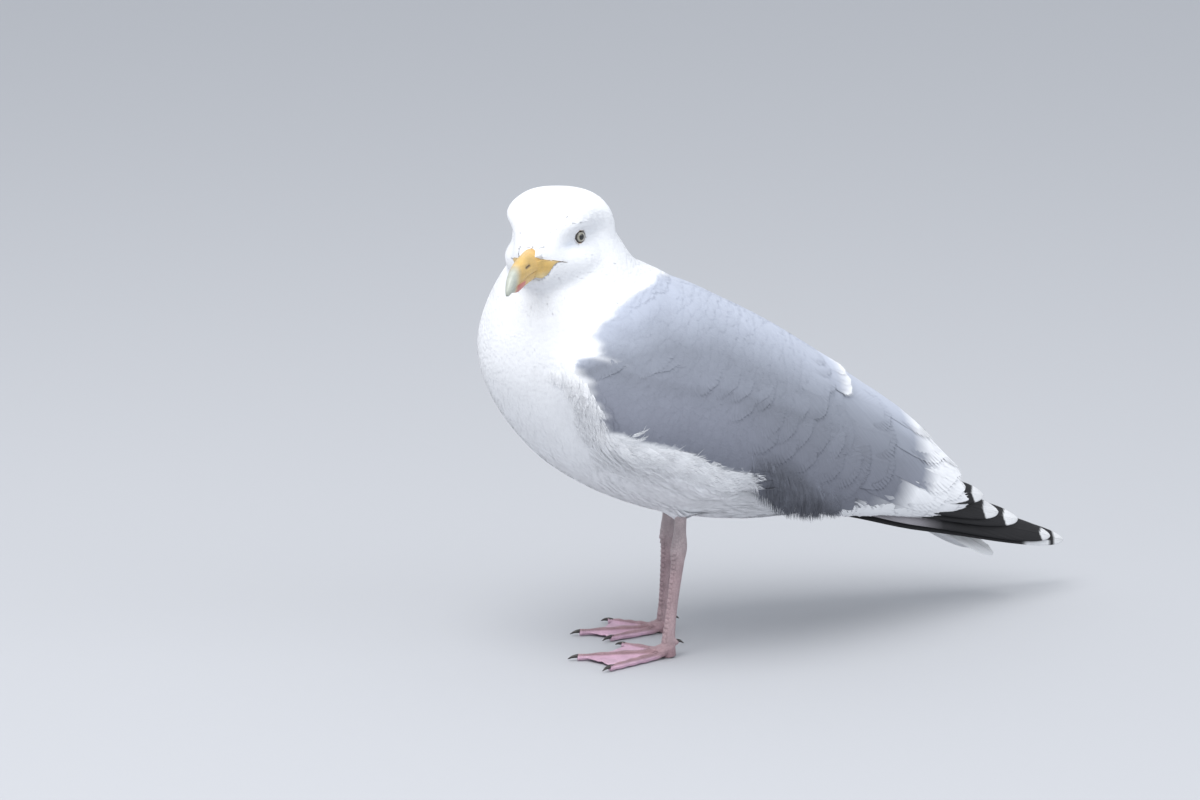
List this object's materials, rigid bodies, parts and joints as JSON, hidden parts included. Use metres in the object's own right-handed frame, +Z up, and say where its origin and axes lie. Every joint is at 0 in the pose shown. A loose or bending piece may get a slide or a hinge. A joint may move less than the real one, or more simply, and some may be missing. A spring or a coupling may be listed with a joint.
{
  "type": "seagull",
  "caption": "Life-size standing gull with folded wings, neck drawn in and head turned to one side, as a still display model",
  "frame": {"origin": "centre of the bounding box in plan, at the level of the soles", "axes": "+X the way the body faces, +Y the bird's left, +Z up"},
  "size_m": [0.4784, 0.162, 0.3175],
  "materials": {
    "feathered_skin": "matte",
    "white_quills": "matte",
    "grey_plumage": "matte",
    "black_quills": "matte",
    "bill_horn": "satin",
    "eyeball": "gloss",
    "leg_skin": "satin",
    "claw_horn": "satin"
  },
  "bodies": {
    "root": {"head": "feathered_skin", "neck": "feathered_skin", "trunk": "feathered_skin", "thigh_left": "feathered_skin", "thigh_right": "feathered_skin", "tail": "white_quills", "wing_left": "grey_plumage", "wing_right": "grey_plumage", "primaries_left": "black_quills", "primaries_right": "black_quills", "bill_upper": "bill_horn", "bill_lower": "bill_horn", "eye_left": "eyeball", "eye_right": "eyeball", "shank_left": "leg_skin", "shank_right": "leg_skin", "foot_left": "leg_skin", "foot_right": "leg_skin", "claw_left_inner": "claw_horn", "claw_left_middle": "claw_horn", "claw_left_outer": "claw_horn", "claw_left_hind": "claw_horn", "claw_right_inner": "claw_horn", "claw_right_middle": "claw_horn", "claw_right_outer": "claw_horn", "claw_right_hind": "claw_horn"}
  },
  "joints": []
}
